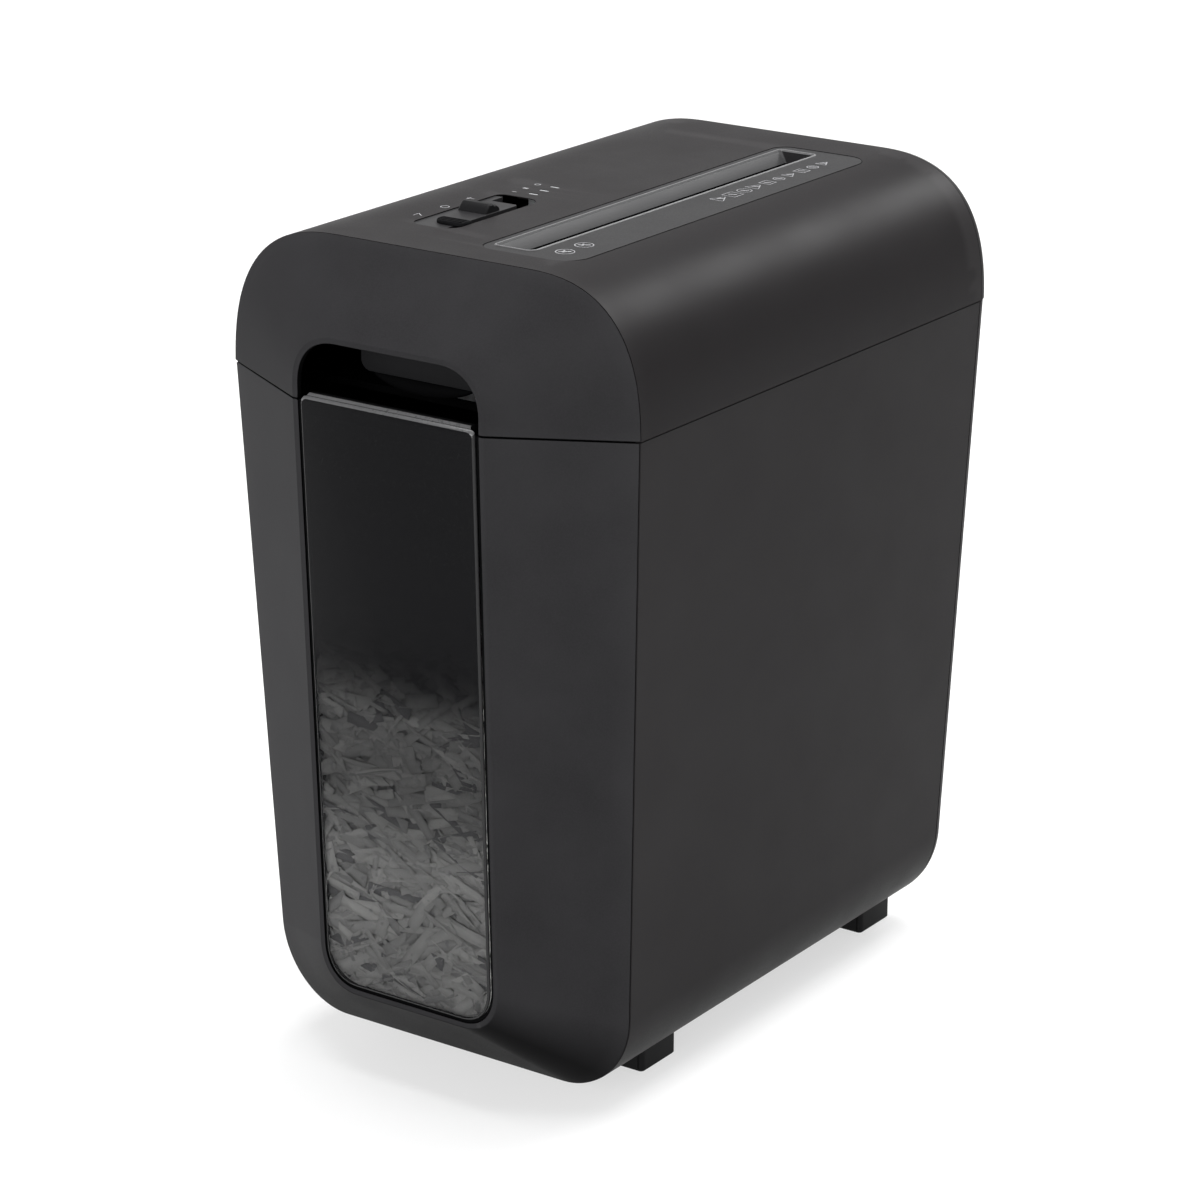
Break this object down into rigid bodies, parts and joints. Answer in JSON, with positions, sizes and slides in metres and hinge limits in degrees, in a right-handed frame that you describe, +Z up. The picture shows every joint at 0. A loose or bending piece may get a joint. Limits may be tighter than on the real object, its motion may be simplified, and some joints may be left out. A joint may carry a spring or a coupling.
{
  "type": "paper shredder",
  "caption": "Personal cross-cut paper shredder: tapered cabinet, motor head with top slot and slide control, and a pull-out bin with a smoked window.",
  "frame": {"origin": "middle of the bounding box, on the ground", "axes": "+Z up, the front with the window faces -Y, +X is the user's right when facing the window from outside"},
  "size_m": [0.215, 0.32, 0.3854],
  "materials": {
    "casing": "fine-textured moulded charcoal plastic",
    "front": "fine-textured moulded charcoal plastic",
    "bezel": "moulded dark grey plastic",
    "black": "moulded black plastic",
    "smoked": "polished smoked clear plastic",
    "steel": "zinc-plated steel",
    "cutter_steel": "hardened dark cutter steel",
    "nylon": "natural nylon",
    "brass": "sintered bronze or brass",
    "board": "fibreglass board with green solder mask",
    "light": "clear and white moulded plastic",
    "rubber": "black rubber"
  },
  "bodies": {
    "shredder": {"head_cover": "casing", "head_front_fascia": "front", "head_rear_cover": "casing", "paper_entry_bezel": "bezel", "head_base_tray": "black", "cutter_guard": "black", "cabinet_shell": "casing", "cabinet_rear_panel": "casing", "cord_gland": "rubber", "cutter_end_plate_front": "steel", "cutter_end_plate_rear": "steel", "stripper_comb_left": "black", "stripper_comb_right": "black", "gear_cover": "black", "gear_axle_first": "steel", "gear_axle_second": "steel", "motor_housing": "steel", "control_board": "board", "board_capacitor": "light", "control_switch_body": "black", "indicator_light_pipe": "light", "interlock_switch_body": "black", "foot_front_left": "rubber", "foot_rear_left": "rubber", "bin_rail_left": "black", "foot_front_right": "rubber", "foot_rear_right": "rubber", "bin_rail_right": "black", "rear_screw_1": "steel", "rear_screw_2": "steel", "rear_screw_3": "steel", "rear_screw_4": "steel", "tie_rod_upper_left": "steel", "tie_rod_upper_right": "steel", "tie_rod_lower_left": "steel", "tie_rod_lower_right": "steel", "bushing_front_a": "brass", "bushing_rear_a": "brass", "bushing_front_b": "brass", "bushing_rear_b": "brass"},
    "bin": {"bin_tub": "black", "bin_front_panel": "front", "window_lens": "smoked", "handle_lip": "black"},
    "control_slider": {"slider_plate": "bezel", "slider_knob": "black"},
    "slider_lock": {"lock_tab": "black"},
    "roll_a": {"cutter_roll_a": "cutter_steel", "sync_gear_a": "steel", "final_drive_gear": "nylon"},
    "roll_b": {"cutter_roll_b": "cutter_steel", "sync_gear_b": "steel"},
    "gear_second": {"reduction_gear_second": "nylon"},
    "gear_first": {"reduction_gear_first": "nylon"},
    "rotor": {"motor_rotor": "steel", "motor_pinion": "brass", "cooling_fan": "nylon"},
    "lever": {"paper_lever": "black"},
    "plunger": {"interlock_plunger": "light"}
  },
  "joints": [
    {"name": "bin_slide", "type": "slide", "parent": "shredder", "child": "bin", "axis": [0, -1, 0], "range_m": [0, 0.29]},
    {"name": "control_slide", "type": "slide", "parent": "shredder", "child": "control_slider", "axis": [0, 1, 0], "range_m": [-0.0155, 0.018]},
    {"name": "lock_slide", "type": "slide", "parent": "shredder", "child": "slider_lock", "axis": [0, 1, 0], "range_m": [0, 0.005]},
    {"name": "roll_a_spin", "type": "hinge", "parent": "shredder", "child": "roll_a", "pos_m": [0.011, 0, 0.332], "axis": [0, 1, 0], "continuous": true},
    {"name": "roll_b_spin", "type": "hinge", "parent": "shredder", "child": "roll_b", "pos_m": [0.0395, 0, 0.332], "axis": [0, 1, 0], "continuous": true},
    {"name": "gear_second_spin", "type": "hinge", "parent": "shredder", "child": "gear_second", "pos_m": [-0.01628, 0, 0.34775], "axis": [0, 1, 0], "continuous": true},
    {"name": "gear_first_spin", "type": "hinge", "parent": "shredder", "child": "gear_first", "pos_m": [-0.03101, 0, 0.32602], "axis": [0, 1, 0], "continuous": true},
    {"name": "rotor_spin", "type": "hinge", "parent": "shredder", "child": "rotor", "pos_m": [-0.052, 0, 0.343], "axis": [0, 1, 0], "continuous": true},
    {"name": "lever_tilt", "type": "hinge", "parent": "shredder", "child": "lever", "pos_m": [0.041, 0.008, 0.36], "axis": [0, -1, 0], "range_deg": [0, 30], "stiffness_Nm_per_rad": 0.002, "springref_deg": -5.73},
    {"name": "plunger_press", "type": "slide", "parent": "shredder", "child": "plunger", "axis": [0, 1, 0], "range_m": [0, 0.002], "stiffness_N_per_m": 60, "springref_m": -0.001}
  ],
  "couplings": [
    {"joint": "roll_b_spin", "follows": "roll_a_spin", "ratio": -1},
    {"joint": "gear_second_spin", "follows": "roll_a_spin", "ratio": -2.5},
    {"joint": "gear_first_spin", "follows": "roll_a_spin", "ratio": 6.25},
    {"joint": "rotor_spin", "follows": "roll_a_spin", "ratio": -21.875}
  ]
}
